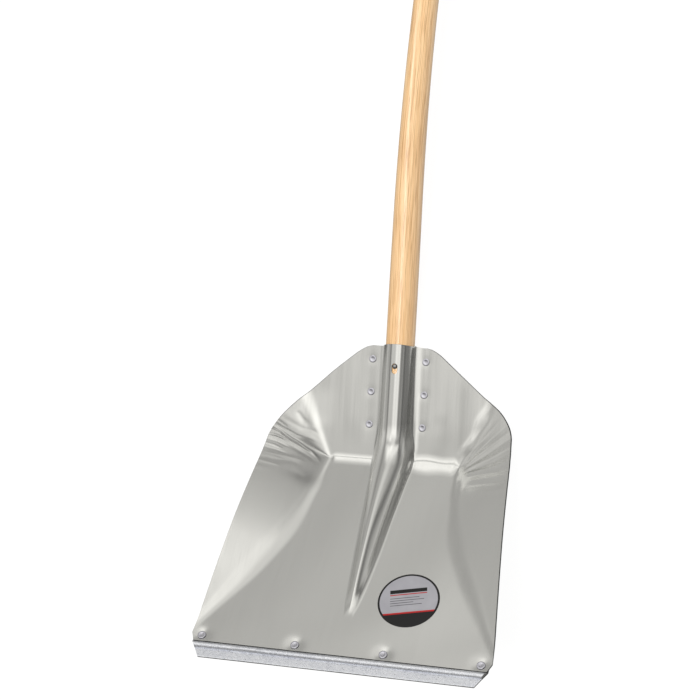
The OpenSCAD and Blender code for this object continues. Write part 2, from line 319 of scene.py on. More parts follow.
def mat_sheared_edge_and_shade(name="sheared_edge_and_painted_shade", lo=0.035, hi=0.09):
    """Sheared edge of the sheet: dull, with short marks, and darkened as painted shade that outlines the sheet's edges,
    the blade's rim and the rivet heads.
    """
    m = Nodes(name)
    p = m.attribute("sheet")
    n = m.noise(m.scaled(p, (0.8, 0.8, 0.8)), 1.0, 3.0, 0.6)
    m.set(Base_Color=m.ramp(n, [(0.3, (lo, lo, lo)), (0.7, (hi, hi, hi * 0.98))]), Metallic=0.6)
    m.set(Roughness=m.range(n, 0.3, 0.7, 0.45, 0.60), Normal=m.bump(n, 0.2, 0.0004))
    return m.mat


def mat_rivet():
    m = Nodes("rivet_aluminium")
    p = m.attribute("sheet")
    n = m.noise(m.scaled(p, (0.7, 0.7, 0.7)), 1.0, 4.0, 0.6)
    col = m.ramp(n, [(0.3, (0.62, 0.615, 0.69)), (0.7, (0.80, 0.795, 0.87))])
    m.set(Base_Color=col, Metallic=1.0, Roughness=m.range(n, 0.3, 0.7, 0.18, 0.30))
    m.set(Normal=m.bump(n, 0.15, 0.0004))
    return m.mat


def mat_screw():
    m = Nodes("screw_dark_zinc")
    p = m.attribute("sheet")
    n = m.noise(m.scaled(p, (0.9, 0.9, 0.9)), 1.0, 3.0, 0.6)
    col = m.ramp(n, [(0.3, (0.34, 0.34, 0.35)), (0.7, (0.50, 0.50, 0.51))])
    m.set(Base_Color=col, Metallic=1.0, Roughness=m.range(n, 0.3, 0.7, 0.12, 0.20))
    return m.mat


def mat_label():
    """Silver foil with a dark keyline, a dark segment and one red line."""
    m = Nodes("label_foil")
    p = m.attribute("label")
    sep = m.add("ShaderNodeSeparateXYZ")
    m.link(p, sep.inputs[0])
    r = m.math("SQRT", m.math("ADD", m.math("MULTIPLY", sep.outputs[0], sep.outputs[0]), m.math("MULTIPLY", sep.outputs[1], sep.outputs[1])))
    grain = m.noise(m.scaled(p, (0.05, 0.05, 0.05)), 1.0, 2.0, 0.5)
    foil = m.ramp(grain, [(0.3, (0.44, 0.435, 0.48)), (0.7, (0.50, 0.495, 0.54))])
    black = (0.006, 0.006, 0.007)
    red = (0.55, 0.012, 0.014)
    y = sep.outputs[1]
    x = sep.outputs[0]

    def bar(x0, x1, y0, y1):
        e = 0.15
        return m.math("MULTIPLY", m.math("MULTIPLY", m.range(x, x0 - e, x0 + e, 0.0, 1.0), m.range(x, x1 - e, x1 + e, 1.0, 0.0)),
                      m.math("MULTIPLY", m.range(y, y0 - e, y0 + e, 0.0, 1.0), m.range(y, y1 - e, y1 + e, 1.0, 0.0)))

    grey = (0.10, 0.10, 0.11)
    col = m.mix(bar(-24, 24, 12.0, 17.5), foil, black)
    col = m.mix(bar(-24, 24, 9.2, 10.6), col, red)
    for x0, x1, yy in ((-24, 14, 4.6), (-24, 20, 1.0), (-24, 6, -2.6), (-24, 17, -6.2)):
        col = m.mix(bar(x0, x1, yy - 0.45, yy + 0.45), col, grey)
    col = m.mix(m.range(y, -17.0, -17.3, 0.0, 1.0), col, red)
    col = m.mix(m.range(y, -19.4, -19.7, 0.0, 1.0), col, black)
    ring = m.range(r, 37.6, 37.9, 0.0, 1.0)
    col = m.mix(ring, col, black)
    m.set(Base_Color=col, Metallic=0.25, Roughness=m.range(grain, 0.3, 0.7, 0.32, 0.42))
    m.bsdf.inputs["Coat Weight"].default_value = 0.2
    m.bsdf.inputs["Coat Roughness"].default_value = 0.2
    return m.mat


M_BLADE = mat_aluminium("blade_aluminium", 0.80, 0.185)
M_CUT_AND_SHADE = mat_sheared_edge_and_shade()
M_ZINC = mat_galvanised()
M_ZINC_CUT_AND_SHADE = mat_sheared_edge_and_shade("sheared_zinc_edge_and_painted_shade", 0.12, 0.22)
M_ASH = mat_ash()
M_RIVET = mat_rivet()
M_SCREW = mat_screw()
M_LABEL = mat_label()


# ---------------------------------------------------------------------------
# blade
# ---------------------------------------------------------------------------
def crease(v):
    front = 198 - 0.62 * (v - 28) + 0.0006 * (v - 28) ** 2
    return smax(front, CU + 0.165 * (CV - v), 14.0)


# each rear corner has a flank between the panel and the side wall: a plane
# through the corner's apex, with these slopes across and along the blade
FLANK_U, FLANK_V = 0.495, 0.556


def heel(u, v):
    """Low step in front of the panel: narrow on the left, wide and wavy on the right."""
    right = smooth(14, 34, u)
    wide = 5.0 + right * (5.5 + 1.2 * np.sin((u - 34) * 0.13))
    return 0.30 * (v - CV + wide) - 7.0 * smooth(82, 99, np.abs(u)), 1.8 + 0.5 * right


def tray(u, v):
    a = np.abs(u)
    wall = 0.512 * (a - crease(v))
    du, dv = a - CU, v - CV
    pan = dv * TA
    flank = FLANK_U * du + FLANK_V * dv
    rho = np.hypot(du, dv)
    side = smooth(-20, 20, u)
    # the right fold wanders a little from the straight line
    off = np.abs(du - 0.602 * dv)
    wig = (1.9 + 1.9 * np.cos((dv - 20) * 0.224)) * smooth(6, 18, dv) * smooth(84, 66, dv)
    flank = flank + side * FLANK_U * wig * np.exp(-(off / 9.0) ** 2)
    up = smax(pan, flank, 1.5 + rho * (0.062 + 0.045 * side))
    up = smax(up, wall, np.maximum(0.22 * rho, 1.0))
    step, soft = heel(u, v)
    low = smax(np.zeros_like(u), step, soft)
    near = smooth(110, 92, a) * smooth(255, 285, v)
    k = (4.5 + 4.0 * smooth(40, 120, v) * smooth(250, 170, v)) * (1 - near) + (1.7 + 1.2 * side) * near
    return smax(low, up, k)


def socket_n(u, s):
    """Half-round of the socket with straight flanks that spread towards the heel."""
    a = np.abs(u)
    phi = np.radians(58 + 22 * smooth(-20, 160, s) + 6 * smooth(4, 12, u) * smooth(10, 60, s) * smooth(150, 90, s))
    us, ns = HUMP_R * np.sin(phi), HUMP_R * np.cos(phi) + AXIS_N

    def outline(x):
        round_n = np.sqrt(np.maximum(HUMP_R ** 2 - np.minimum(x, us) ** 2, 0)) + AXIS_N
        return np.where(x < us, round_n, ns - np.tan(phi) * (x - us))

    # faint drawing lines left by the press, along the flanks and over the crown
    lines = (0.06 * np.sin(1.75 * outline(a) + 0.8) + 0.34 * smooth(-6, -12, u) * np.sin(0.85 * outline(a) + 2.4)) * smooth(9, 15, a) * smooth(-30, 30, s)
    n = outline(a + lines)
    amp = 0.10 + 0.06 * smooth(-2, -10, u)
    return n + amp * np.sin(u * 1.02 + 0.9) * smooth(20, 14, a) * smooth(-30, 40, s)


def rib(u, v):
    a = np.abs(u)
    g = np.clip((v - RIB_TIP) / (CV - RIB_TIP), 0, 1.25)
    f = np.minimum(g, 1.0)
    hw = 5.2 + (RIB_HALF - 5.2) * g ** 0.92
    top = RIB_H * (1 - (1 - f) ** 1.7) + 1.2 * (1 - np.exp(-np.maximum(v - RIB_TIP, 0) / 12.0)) - smax(0.25 * (v - CV), np.zeros_like(v), 5.0)
    t = a / hw
    p = 1.28 + 0.35 * smooth(62, 200, v) + 0.85 * smooth(160, 300, v)
    body = np.where(t < 1, top * (1 - np.minimum(t, 1) ** p) ** (1 / p), -1.6 * (a - hw))
    body = body + 0.30 * np.sin(7.2 * u / hw + 0.9) * smooth(1.0, 0.7, t) * smooth(110, 190, v)
    low = body - np.where(v < RIB_TIP, 0.5 * (RIB_TIP - v), 0.0) - 3.2 * np.exp(-np.maximum(v - RIB_TIP, 0) / 16.0)
    return smax(low, (v - CV) * TA + socket_n(u, (v - CV) / CA) / CA, 26.0)


# pressing folds at the rear corners: points (u, v), height and half width
FOLDS = [
    # left
    ([(-100, 326), (-114, 329), (-128, 327), (-145, 330), (-160, 334)], 0.24, 3.0),
    ([(-102, 318), (-116, 320), (-132, 318), (-150, 321), (-164, 325)], -0.20, 2.8),
    ([(-98, 289), (-105, 298), (-113, 303), (-122, 305), (-131, 308), (-142, 310), (-154, 314), (-170, 318)], 0.50, 1.9),
    ([(-104, 288), (-112, 294), (-124, 297), (-138, 300), (-150, 300)], -0.24, 2.6),
    ([(-114, 285), (-127, 286), (-139, 284), (-155, 281), (-178, 276)], 0.24, 2.0),
    ([(-120, 279), (-132, 279), (-146, 275), (-160, 271)], -0.18, 2.2),
    ([(-141, 303), (-150, 307), (-160, 307), (-176, 303)], 0.28, 1.6),
    ([(-146, 292), (-160, 293), (-176, 291)], 0.24, 1.6),
    ([(-144, 268), (-160, 266), (-180, 264)], 0.20, 1.9),
    ([(-152, 258), (-166, 256), (-182, 253)], 0.14, 2.0),
    ([(-138, 346), (-130, 338), (-122, 334)], 0.40, 2.6),
    ([(-112, 262), (-124, 264), (-136, 262)], -0.20, 5.0),
    ([(-138, 297), (-156, 299), (-178, 297)], -0.18, 1.4),
    ([(-140, 288), (-158, 287), (-180, 284)], -0.18, 1.4),
    ([(-150, 312), (-162, 313), (-174, 310)], -0.20, 1.4),
    ([(-146, 322), (-158, 326), (-168, 328)], 0.20, 1.5),
    ([(-142, 278), (-160, 276), (-182, 271)], 0.16, 1.8),
    # right
    ([(92, 318), (96, 326), (106, 334), (111, 343), (114, 354), (124, 367), (130, 376)], 0.55, 2.4),
    ([(96, 303), (112, 322), (132, 338), (152, 352)], 0.55, 2.6),
    ([(95, 301), (112, 316), (136, 330), (160, 343)], -0.60, 2.4),
    ([(94, 300), (112, 311), (138, 322), (166, 334)], 0.70, 2.2),
    ([(95, 298), (114, 306), (138, 314), (168, 324)], -0.65, 2.2),
    ([(96, 297), (118, 302), (141, 306), (170, 314)], 0.75, 2.2),
    ([(97, 295), (121, 297), (143, 298), (172, 304)], -0.65, 2.2),
    ([(100, 291), (123, 291), (146, 290), (174, 294)], 0.70, 2.2),
    ([(102, 286), (126, 285), (150, 282), (176, 284)], -0.55, 2.4),
    ([(104, 280), (129, 277), (153, 273), (178, 273)], 0.60, 2.2),
    ([(106, 273), (131, 269), (154, 265), (180, 264)], -0.40, 2.6),
    ([(110, 262), (134, 257), (158, 252), (182, 251)], 0.35, 2.4),
    ([(94, 292), (96, 278), (99, 262), (102, 246)], 0.55, 3.6),
    ([(106, 276), (106, 266), (109, 250), (113, 236)], 0.35, 3.0),
]


def folds(u, v):
    out = np.zeros_like(u)
    for pts, h, w in FOLDS:
        p = np.array(pts, float)
        seg = np.hypot(*(p[1:] - p[:-1]).T)
        total = seg.sum()
        best = np.full(u.shape, 1e9)
        along = np.zeros_like(u)
        start = 0.0
        for i in range(len(seg)):
            d = (p[i + 1] - p[i]) / seg[i]
            t = np.clip((u - p[i, 0]) * d[0] + (v - p[i, 1]) * d[1], 0, seg[i])
            r = np.hypot(u - p[i, 0] - t * d[0], v - p[i, 1] - t * d[1])
            closer = r < best
            best = np.where(closer, r, best)
            along = np.where(closer, start + t, along)
            start += seg[i]
        f = along / total
        spread = w * (0.75 + 0.5 * f)
        out += h * np.exp(-(best / spread) ** 2) * smooth(0, 0.22, f) * (1 - 0.6 * smooth(0.65, 1.0, f))
    return out


def dents(u, v):
    """The sheet is drawn down around each rivet, and the floor isn't dead flat."""
    out = np.zeros_like(u)
    for x in EDGE_U:
        r = np.hypot(u - x, v - EDGE_V)
        out -= 1.8 * np.exp(-(r / 9.0) ** 2)
    for s in RIVET_S:
        for x in (-RIVET_U, RIVET_U):
            r = np.hypot(u - x, (v - CV) / CA - s)
            out -= 0.45 * np.exp(-(r / 6.5) ** 2)
    slow = 0.30 * np.sin(u * 0.021 + 0.6) * np.sin(v * 0.017 + 0.4) + 0.18 * np.sin(u * 0.037 - v * 0.019)
    out += slow * smooth(0, 60, v)
    out += (0.42 * np.sin(u * 0.082 + 0.5) + 0.2 * np.sin(u * 0.19)) * np.cos((v - 350) * 0.028) * smooth(CV + 12, CV + 45, v) * smooth(26, 36, np.abs(u))
    return out


def face(u, v):
    right = smooth(2, 14, u)
    k = 4.0 + 3.0 * smooth(330, 390, v) + right * 4.0 * smooth(230, 150, v)
    # the panel rises softly towards the socket, more so on the right
    foot = 25.0 - 3.0 * smooth(CV, TOP_V, v)
    a = np.abs(u)
    soft = 4.6 * np.exp(-(np.maximum(a, 18) - foot + 1.2) / 4.4) * smooth(35, 26, a)
    tight = 0.7 * np.exp(-np.maximum(a - foot, 0) / 3.0)
    skirt = (tight + right * (soft - tight)) * smooth(CV - 2, CV + 20, v)
    return smax(tray(u, v) + folds(u, v) + skirt, rib(u, v), k) + dents(u, v)


def rim(v, k):
    side = 200 - 0.109 * (v - CORNER)
    slant = 116 - 1.587 * (v - 380)
    r = -smax(-side, -slant, k)
    return np.where(v < CORNER, 200 - 5 * (1 - v / CORNER), r)


def painted_shade_and_highlight(u, v):
    """Amounts of painted shade and painted highlight: lines along the socket and rib, streaks on the panel, patches in
    the rear corners and a light line along the right fold's ridge.
    """
    def line(x, at, w):
        return np.exp(-((x - at) / w) ** 2)

    hw = 5.2 + (RIB_HALF - 5.2) * np.clip((v - RIB_TIP) / (CV - RIB_TIP), 0.05, 1.0) ** 0.92
    t = u * RIB_HALF / hw
    along = smooth(150, 230, v)
    upper = smooth(330, 345, v)
    painted_shade = along * (0.30 * line(t, -25.2, 1.3) + 0.26 * line(t, -17.5, 2.4) + (0.35 + 0.20 * smooth(300, 340, v)) * line(t, -6.4, 1.5))
    painted_shade = painted_shade + 0.22 * upper * line(u, 18.8, 1.3) + 0.20 * line(u, 92, 7) * smooth(312, 325, v) * smooth(402, 378, v)
    painted_shade = painted_shade + 0.44 * line(u, -112, 15) * line(v, 262, 11) + 0.20 * line(u, -114, 12) * line(v, 315, 9)
    painted_shade = painted_shade + 0.32 * line(v, 298 - 0.215 * (u + 100), 10) * smooth(-96, -106, u)
    painted_shade = painted_shade + 0.14 * line(u, 63, 14) * smooth(308, 316, v) * smooth(345, 330, v)
    painted_highlight = 0.8 * along * smooth(-25, -22, t) * smooth(-8, -11, t) + 0.5 * upper * line(u, 15, 2)
    painted_highlight = painted_highlight + 0.7 * line(u, -102, 13) * smooth(332, 345, v) * smooth(385, 365, v) + 0.5 * line(u, 63, 10) * smooth(350, 364, v)
    ridge = np.interp(v, [318, 326, 334, 343, 354, 367, 376], [92, 96, 106, 111, 114, 124, 130])
    painted_highlight = painted_highlight + 0.95 * line(u, ridge - 1.5, 4.5) * smooth(316, 322, v) * smooth(388, 376, v)
    return np.clip(painted_shade, 0, 0.8), np.clip(painted_highlight, 0, 1)


def build_blade():
    rows = np.unique(np.concatenate([
        np.linspace(0, CORNER, 9), np.linspace(CORNER, 40, 15), np.linspace(40, 262, 64),
        np.linspace(262, 286, 16), np.linspace(286, 330, 54), np.linspace(330, 400, 44), np.linspace(400, TOP_V, 22)]).round(5))
    inner = np.unique(np.concatenate([np.linspace(0, 4, 9), np.linspace(4, 30, 38), np.linspace(30, 36, 7)]).round(5))
    n_out = 58
    half = len(inner) + n_out + 1
    f_out = (np.arange(1, n_out + 1) / n_out) ** 0.97
    R = len(rows)
    V = np.repeat(rows[:, None], half, 1)
    # rounded corners where the slanted sides meet the top edge
    q = np.clip((rows - (TOP_V - 9.0)) / 9.0, 0, 1)
    both = []
    for k, full in ((76.0, 2.2), (44.0, 1.6)):
        edge = rim(rows, k) - 9.0 * (1 - np.sqrt(np.maximum(1 - q * q, 0)))
        edge = (edge + full * np.exp(-((rows - 366.0) / 13.0) ** 2))[:, None]
        lip = (0.18 + 0.57 * smooth(290, 370, rows))[:, None]
        both.append(np.concatenate([np.repeat(inner[None, :], R, 0), 36 + (edge - lip - 36) * f_out[None, :], edge], 1))
    U = np.concatenate([-both[0][:, :0:-1], both[1]], 1)
    V = np.concatenate([V[:, :0:-1], V], 1)
    # the top edge is cut square to the panel, with rounded corners
    g = smooth(344, TOP_V, V) ** 1.5
    V = V - g * (SA - 0.14) * np.maximum(socket_n(U, 150.0), 0)
    W = face(U, V)
    e = 0.25
    gx = (face(U + e, V) - face(U - e, V)) / (2 * e)
    gy = (face(U, V + e) - face(U, V - e)) / (2 * e)
    N = np.stack([-gx, -gy, np.ones_like(gx)], -1)
    N /= np.linalg.norm(N, axis=-1, keepdims=True)
    P = np.stack([U, V, W], -1)
    Q = P - SHEET * N
    m = P.shape[1]
    n = R * m
    verts = np.concatenate([P.reshape(-1, 3), Q.reshape(-1, 3)])
    i, j = np.meshgrid(np.arange(R - 1), np.arange(m - 1), indexing="ij")
    a = (i * m + j).ravel()
    top = np.stack([a, a + 1, a + m + 1, a + m], 1)
    bot = np.stack([n + a, n + a + m, n + a + m + 1, n + a + 1], 1)
    jj = np.arange(m - 1)
    ii = np.arange(R - 1)
    fr = np.stack([jj, n + jj, n + jj + 1, jj + 1], 1)
    b = (R - 1) * m + jj
    bk = np.stack([b, b + 1, n + b + 1, n + b], 1)
    l = ii * m
    lf = np.stack([l, l + m, n + l + m, n + l], 1)
    r_ = ii * m + m - 1
    rt = np.stack([r_, n + r_, n + r_ + m, r_ + m], 1)
    ob = make("blade_sheet", world(verts), np.concatenate([top, bot, fr, bk, lf, rt]))
    ob.data.materials.append(M_BLADE)
    ob.data.materials.append(M_CUT_AND_SHADE)
    # the sheet's cut edges, and the outermost top strip along the right side and along the left side above v 330, take
    # the dark edge material: painted shade outlining the blade
    edge_shade_index = np.zeros(len(ob.data.polygons), np.int32)
    edge_shade_index[len(top) + len(bot):] = 1
    rim_shade_strip = edge_shade_index[:len(top)].reshape(R - 1, m - 1)
    rim_shade_strip[:, -1] = 1
    rim_shade_strip[rows[1:] > 330, 0] = 1
    ob.data.polygons.foreach_set("material_index", edge_shade_index)
    dev = np.where(V > CV, CV + (V - CV) / CA, V)
    side = np.zeros_like(U)
    co = np.stack([U, dev, side], -1).reshape(-1, 3)
    attr(ob, "sheet", np.concatenate([co, co + np.array([700.0, 0, 40])]))
    zone = smooth(CV + 8, CV + 45, V)
    # painted shade and painted highlight amounts, carried to the material in the zone attribute
    painted_shade, painted_highlight = painted_shade_and_highlight(U, V)
    clear = np.zeros_like(zone)
    attr(ob, "zone", np.concatenate([
        np.stack([zone, painted_shade, painted_highlight], -1).reshape(-1, 3), np.stack([zone, clear, clear], -1).reshape(-1, 3)]))
    sharp_by_angle(ob, 50)
    return ob


def cut_slot(ob):
    """Slot in the half-round socket, cut square to the panel."""
    prof = []
    for k in range(25):
        t = math.pi * k / 24
        prof.append((4.0 * math.cos(t), 128.6 + 4.0 * math.sin(t)))
    for k in range(25):
        t = math.pi + math.pi * k / 24
        prof.append((4.0 * math.cos(t), 122.6 + 4.0 * math.sin(t)))
    n = len(prof)
    pts = [panel_pt(x, s, 13.0) for x, s in prof] + [panel_pt(x, s, 30.0) for x, s in prof]
    faces = [list(range(n))[::-1], list(range(n, 2 * n))]
    faces += [[k, (k + 1) % n, n + (k + 1) % n, n + k] for k in range(n)]
    cutter = make("slot_cutter", world(np.array(pts)), faces, False)
    mod = ob.modifiers.new("slot", "BOOLEAN")
    mod.operation = "DIFFERENCE"
    mod.solver = "EXACT"
    mod.object = cutter
    dg = bpy.context.evaluated_depsgraph_get()
    me = bpy.data.meshes.new_from_object(ob.evaluated_get(dg), preserve_all_data_layers=True, depsgraph=dg)
    ob.modifiers.clear()
    old = ob.data
    ob.data = me
    bpy.data.meshes.remove(old)
    bpy.data.objects.remove(cutter, do_unlink=True)


blade = build_blade()
cut_slot(blade)
finish_piece(blade, "blade", M_BLADE)


# ---------------------------------------------------------------------------
# handle
# ---------------------------------------------------------------------------
S_START, S_BEND, BEND_R, BEND_A = 38.0, 330.0, 1450.0, math.radians(11.5)
END_A = ALPHA - BEND_A
LEN_BEND = BEND_R * BEND_A
HANDLE_L = 1300.0
GRIP_R = 17.0


def spine(l):
    if l <= S_BEND:
        return CV + l * CA - AXIS_N * SA, l * SA + AXIS_N * CA, ALPHA
    pb = (CV + S_BEND * CA - AXIS_N * SA, S_BEND * SA + AXIS_N * CA)
    c = (pb[0] + BEND_R * SA, pb[1] - BEND_R * CA)
    if l <= S_BEND + LEN_BEND:
        a = ALPHA - (l - S_BEND) / BEND_R
        return c[0] - BEND_R * math.sin(a), c[1] + BEND_R * math.cos(a), a
    d = l - S_BEND - LEN_BEND
    return c[0] - BEND_R * math.sin(END_A) + d * math.cos(END_A), c[1] + BEND_R * math.cos(END_A) + d * math.sin(END_A), END_A


def handle_rad(l):
    t = min(max((l - 200) / 470, 0), 1)
    return HANDLE_R - (HANDLE_R - GRIP_R) * (3 * t * t - 2 * t * t * t)


def build_handle():
    l_end = S_START + HANDLE_L
    at = list(np.linspace(S_START, 160, 26)) + list(np.linspace(165, l_end - 12, 220))
    rings = [(l, handle_rad(l)) for l in at]
    for t in np.linspace(0, 1, 14)[1:]:
        a = t * math.pi / 2
        rings.append((l_end - 10 + 10 * math.sin(a), GRIP_R - 10 + 10 * math.cos(a)))
    sides = 72
    pts, co = [], []
    for l, r in rings:
        v, w, a = spine(l)
        for k in range(sides):
            t = 2 * math.pi * k / sides
            x, y = r * math.cos(t), r * math.sin(t)
            if l < 160:
                y = max(y, -0.168 * (l - 34) - 0.0)
            pts.append((x, v - y * math.sin(a), w + y * math.cos(a)))
            co.append((x, y, l))
    n = len(rings)
    faces = []
    for i in range(n - 1):
        for k in range(sides):
            k2 = (k + 1) % sides
            faces.append((i * sides + k, (i + 1) * sides + k, (i + 1) * sides + k2, i * sides + k2))
    c0 = len(pts)
    v, w, a = spine(S_START)
    pts.append((0, v - 9 * math.sin(a), w + 9 * math.cos(a)))
    co.append((0, 9, S_START))
    v, w, a = spine(l_end)
    pts.append((0, v, w))
    co.append((0, 0, l_end))
    for k in range(sides):
        k2 = (k + 1) % sides
        faces.append((c0, k, k2))
        faces.append((c0 + 1, (n - 1) * sides + k2, (n - 1) * sides + k))
    ob = make("handle_shaft", world(np.array(pts)), faces)
    attr(ob, "grain", np.array(co))
    sharp_by_angle(ob, 40)
    return ob


handle = build_handle()
finish_piece(handle, "handle", M_ASH)
handle.visible_glossy = False


# ---------------------------------------------------------------------------
# wear edge
# ---------------------------------------------------------------------------
def arc(cx, cy, r, a0, a1, n):
    return [(cx + r * math.cos(math.radians(a0 + (a1 - a0) * k / n)), cy + r * math.sin(math.radians(a0 + (a1 - a0) * k / n))) for k in range(n + 1)]


def build_strip():
    lip, b, t = 22.3, -4.0, 2.0
    bc, br = (-5.5, -1.4), 4.3
    prof = []
    prof += arc(-lip + 0.4, b + 0.4, 0.4, 270, 180, 4)
    prof += arc(-lip + 0.3, b + t - 0.3, 0.3, 180, 90, 4)
    prof += [(v, b + t) for v in (-19.5, -17, -14, -12)]
    # a narrow groove, then the rounded bead
    prof += [(-10.9, b + t - 0.05), (-10.3, b + t - 0.25), (-9.9, b + t - 0.1)]
    prof += arc(bc[0], bc[1], br, 176, 4, 28)
    prof += [(-1.15, -1.95), (-1.0, -2.06), (3, -2.06), (5, -2.06), (7, -2.06), (9, -2.06), (11, -2.06), (13, -2.06), (16, -2.06), (20, -2.06), (23.4, -2.06), (24, -2.6), (24, -3.5), (23.5, b), (20, b), (16, b), (13, b), (11, b), (9, b), (7, b), (5, b), (3, b), (0, b), (-12, b)]
    prof = np.array(prof)
    m = len(prof)
    cols = np.linspace(-1, 1, 193)
    half = 196.5 - 13.5 * np.clip(-prof[:, 0] / lip, 0, 1)
    pts = []
    for c in cols:
        u = c * half
        wob = 0.12 * np.sin(u * 0.043 + 0.5) + 0.07 * np.sin(u * 0.11)
        top = (prof[:, 1] > b + t - 0.2) & (prof[:, 0] < -1)
        w = prof[:, 1] + np.where(top, wob, 0) * smooth(1.0, 0.96, abs(c))
        # the rolled bead is pressed flatter over a short stretch
        flat = 0.55 * smooth(26, 8, np.abs(u + 118))
        bead = (prof[:, 0] < -6.0) & (prof[:, 0] > -9.6) & (w > b + t)
        w = np.where(bead, w + flat * 1.0 * smooth(-9.8, -7.5, prof[:, 0]), w)
        # the lip droops a little towards its front edge
        w = w - 0.055 * np.maximum(-prof[:, 0] - 11.0, 0)
        for x in EDGE_U:
            r = np.hypot(u - x, prof[:, 0] - EDGE_V)
            w = w - np.where(prof[:, 0] > 1, 1.6 * np.exp(-(r / 9.0) ** 2), 0)
        pts.append(np.stack([u, prof[:, 0], w], -1))
    n = len(cols)
    verts = np.concatenate(pts)
    faces = []
    for i in range(n - 1):
        for k in range(m):
            k2 = (k + 1) % m
            faces.append((i * m + k, i * m + k2, (i + 1) * m + k2, (i + 1) * m + k))
    faces.append(tuple(range(m))[::-1])
    faces.append(tuple((n - 1) * m + k for k in range(m)))
    ob = make("wear_strip", world(verts), faces)
    attr(ob, "sheet", verts)
    ob.data.materials.append(M_ZINC)
    ob.data.materials.append(M_ZINC_CUT_AND_SHADE)
    # the sheared front edge of the lip and both ends, darkened as painted shade
    lip_edge_shade = [k for k in range(m) if 3 <= k <= 7]
    idx = np.zeros(len(ob.data.polygons), np.int32)
    idx[-2:] = 1
    for i in range(n - 1):
        for k in lip_edge_shade:
            idx[i * m + k] = 1
    ob.data.polygons.foreach_set("material_index", idx)
    sharp_by_angle(ob, 42)
    return ob


strip = build_strip()
finish_piece(strip, "wear_edge", M_ZINC)


# ---------------------------------------------------------------------------
# rivets and screw: lathe profiles (radius, height), placed on the sheet
# ---------------------------------------------------------------------------
def lathe(name, prof, place, sides=40, mats=None, dark=()):
    pts, faces = [], []
    n = len(prof)
    for r, z in prof:
        for k in range(sides):
            t = 2 * math.pi * k / sides
            pts.append((r * math.cos(t), r * math.sin(t), z))
    for i in range(n - 1):
        for k in range(sides):
            k2 = (k + 1) % sides
            faces.append((i * sides + k, i * sides + k2, (i + 1) * sides + k2, (i + 1) * sides + k))
    faces.append(tuple(range(sides))[::-1])
    faces.append(tuple((n - 1) * sides + k for k in range(sides)))
    pts = np.array(pts)
    ob = make(name, world(place(pts)), faces)
    attr(ob, "sheet", pts + np.array([hash_num(name), 0, 0]))
    for mat in mats or ():
        ob.data.materials.append(mat)
    idx = np.zeros(len(ob.data.polygons), np.int32)
    for i in dark:
        idx[i * sides:(i + 1) * sides] = 1
    ob.data.polygons.foreach_set("material_index", idx)
    sharp_by_angle(ob, 48)
    return ob


def hash_num(s):
    return float(sum((k + 3) * ord(c) for k, c in enumerate(s)) % 997)


def head_profile(dip, hr=4.8):
    """Low head with an upright rim, a rounded shoulder and a shallow dish."""
    out = [(hr - 0.5, -dip), (hr - 0.12, -0.5 * dip), (hr, -0.05), (hr, 0.55)]
    for k in range(1, 7):
        a = math.radians(90 * k / 6)
        out.append((hr - 1.1 + 1.1 * math.cos(a), 0.55 + 0.95 * math.sin(a)))
    q = (hr - 1.1) / 3.7
    out += [(3.1 * q, 1.50), (2.6 * q, 1.42), (2.0 * q, 1.24), (1.4 * q, 1.12), (0.7, 1.05), (0.3, 1.04)]
    return out


def rivet_socket(name, node, x, s):
    back = [(2.6, -5.7), (3.3, -5.68), (3.9, -5.2), (4.2, -4.3), (4.15, -4.08), (2.5, -4.06), (2.5, -0.7)]
    prof = back + head_profile(0.45, 5.1)
    # the upright rim of each head takes the dark edge material: a painted shade ring where the head meets the sheet
    shade_ring_rows = range(len(back), len(back) + 3)
    ob = lathe(name, prof, lambda p: panel_pt(x + p[:, 0], s + p[:, 1], np.where(p[:, 2] > -0.8, p[:, 2] - 0.30, p[:, 2])), 40, (M_RIVET, M_CUT_AND_SHADE), shade_ring_rows)
    ob.visible_glossy = False
    finish_piece(ob, node, M_RIVET)


def rivet_edge(name, node, x):
    back = [(3.9, -4.0), (4.0, -3.95), (2.5, -2.5), (2.5, -1.2)]
    prof = back + head_profile(0.9, 5.6)
    # the upright rim takes the dark edge material: a painted shade ring around the head
    ob = lathe(name, prof, lambda p: np.stack([x + p[:, 0], EDGE_V + p[:, 1], np.where(p[:, 2] > -1.5, p[:, 2] - 1.15, p[:, 2] - 0.9)], -1), 40, (M_RIVET, M_CUT_AND_SHADE), range(len(back), len(back) + 3))
    finish_piece(ob, node, M_RIVET)


for i, s in enumerate(RIVET_S):
    rivet_socket("rivet_socket_l%d" % (i + 1), "socket_rivet_left_%d" % (i + 1), -RIVET_U, s)
    rivet_socket("rivet_socket_r%d" % (i + 1), "socket_rivet_right_%d" % (i + 1), RIVET_U, s)
for i, x in enumerate(EDGE_U):
    rivet_edge("rivet_edge_%d" % (i + 1), "edge_rivet_%d" % (i + 1), x)


def build_screw():
    base = AXIS_N + HANDLE_R
    prof = [(1.2, -24.0), (2.0, -22.0)]
    z = -21.5
    while z < -4:
        prof += [(2.0, z), (1.55, z + 0.45), (2.0, z + 0.9)]
        z += 0.9
    prof += [(2.0, -0.1), (3.0, 0.02), (3.35, 0.2), (3.4, 0.5)]
    for k in range(1, 10):
        a = math.radians(4 + 80 * k / 9)
        prof.append((3.4 * math.cos(a), 0.5 + 2.3 * math.sin(a)))
    prof += [(0.2, 2.8)]
    ob = lathe("screw_pan_head", prof, lambda p: panel_pt(p[:, 0], 128.6 + p[:, 1], base + 0.05 + p[:, 2]), 36)
    finish_piece(ob, "handle_screw", M_SCREW)


build_screw()


